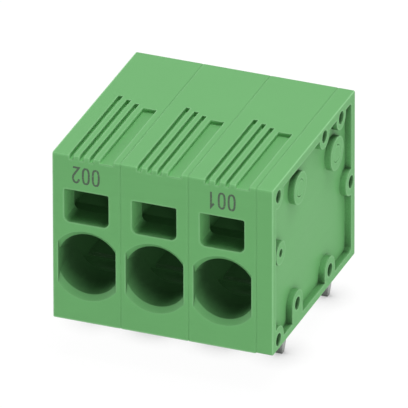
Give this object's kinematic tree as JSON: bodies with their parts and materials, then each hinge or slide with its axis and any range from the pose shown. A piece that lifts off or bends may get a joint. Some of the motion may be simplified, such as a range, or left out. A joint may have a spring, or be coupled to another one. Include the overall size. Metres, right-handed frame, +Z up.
{
  "type": "pcb terminal block",
  "caption": "Spring-clamp terminal block for a printed circuit board: wide-pitch green modules with round wire entries, release openings, an end cover and square solder pins.",
  "frame": {"origin": "middle of the housing's underside, on the board's surface", "axes": "+X across the poles towards the end cover, +Y away from the wire entries, +Z up from the board"},
  "size_m": [0.0324, 0.032, 0.0317],
  "materials": {
    "green_housing": "fine satin moulding",
    "tinned_bar": "tin plated copper",
    "spring_steel": "rolled spring strip",
    "tinned_pin": "dull tin plate"
  },
  "bodies": {
    "block": {"housing_1": "green_housing", "housing_2": "green_housing", "housing_3": "green_housing", "end_cover": "green_housing", "current_bar_1": "tinned_bar", "pin_1_front_left": "tinned_pin", "pin_1_front_right": "tinned_pin", "pin_1_rear_left": "tinned_pin", "pin_1_rear_right": "tinned_pin", "current_bar_2": "tinned_bar", "pin_2_front_left": "tinned_pin", "pin_2_front_right": "tinned_pin", "pin_2_rear_left": "tinned_pin", "pin_2_rear_right": "tinned_pin", "current_bar_3": "tinned_bar", "pin_3_front_left": "tinned_pin", "pin_3_front_right": "tinned_pin", "pin_3_rear_left": "tinned_pin", "pin_3_rear_right": "tinned_pin"},
    "clamp_1": {"spring_1": "spring_steel"},
    "clamp_2": {"spring_2": "spring_steel"},
    "clamp_3": {"spring_3": "spring_steel"}
  },
  "joints": [
    {"name": "clamp_open_1", "type": "hinge", "parent": "block", "child": "clamp_1", "pos_m": [-0.01124, -0.00539, 0.021], "axis": [1, 0, 0], "range_deg": [0, 26], "stiffness_Nm_per_rad": 2, "springref_deg": -11.46, "deforming": ["spring_1"]},
    {"name": "clamp_open_2", "type": "hinge", "parent": "block", "child": "clamp_2", "pos_m": [-0.00124, -0.00539, 0.021], "axis": [1, 0, 0], "range_deg": [0, 26], "stiffness_Nm_per_rad": 2, "springref_deg": -11.46, "deforming": ["spring_2"]},
    {"name": "clamp_open_3", "type": "hinge", "parent": "block", "child": "clamp_3", "pos_m": [0.00876, -0.00539, 0.021], "axis": [1, 0, 0], "range_deg": [0, 26], "stiffness_Nm_per_rad": 2, "springref_deg": -11.46, "deforming": ["spring_3"]}
  ]
}
